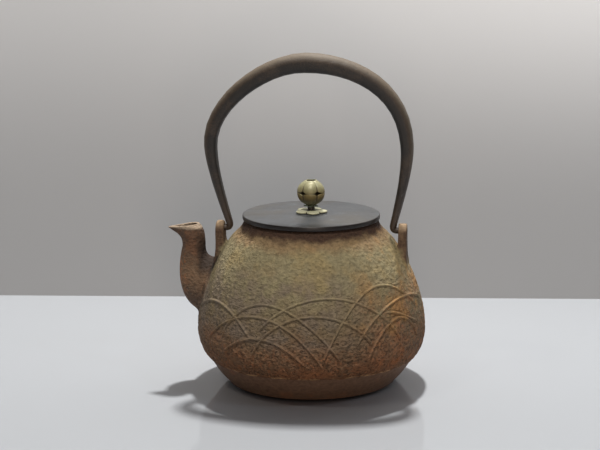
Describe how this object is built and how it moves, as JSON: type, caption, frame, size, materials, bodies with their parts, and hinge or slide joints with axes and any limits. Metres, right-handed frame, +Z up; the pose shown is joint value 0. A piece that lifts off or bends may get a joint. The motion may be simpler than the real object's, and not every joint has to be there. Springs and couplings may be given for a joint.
{
  "type": "cast iron kettle",
  "caption": "Cast iron kettle with a curved spout, a bail handle that swings between two ears and a lift-off lid with a petalled knob.",
  "frame": {"origin": "centre of the flat base that the kettle stands on", "axes": "+Z up; the spout points along -X; the bail stands upright in the XZ plane and swings about X; -Y is the side with the pictured relief"},
  "size_m": [0.1892, 0.1682, 0.2416],
  "materials": {
    "cast_iron": "rough sand-cast skin under worn olive-brown lacquer with rust",
    "forged_iron": "hammered smooth, dark burnt-on lacquer",
    "bronze": "dark blue-grey patina, half gloss",
    "pale_brass": "pale green-cream patina, ochre in the hollows"
  },
  "bodies": {
    "kettle": {"kettle_body": "cast_iron"},
    "bail": {"bail_handle": "forged_iron"},
    "lid": {"lid": "bronze", "knob_seat": "pale_brass", "stem_washer": "bronze"},
    "knob": {"knob_stem": "bronze", "knob_calyx": "pale_brass", "knob_lower_petals": "pale_brass", "knob_upper_petals": "pale_brass"}
  },
  "joints": [
    {"name": "bail_swing", "type": "hinge", "parent": "kettle", "child": "bail", "pos_m": [0, 0, 0.113], "axis": [1, 0, 0], "range_deg": [-120, 120]},
    {"name": "lid_lift", "type": "slide", "parent": "kettle", "child": "lid", "axis": [0, 0, 1], "range_m": [0, 0.06]},
    {"name": "knob_turn", "type": "hinge", "parent": "lid", "child": "knob", "pos_m": [0, 0, 0.141], "axis": [0, 0, 1], "continuous": true}
  ]
}
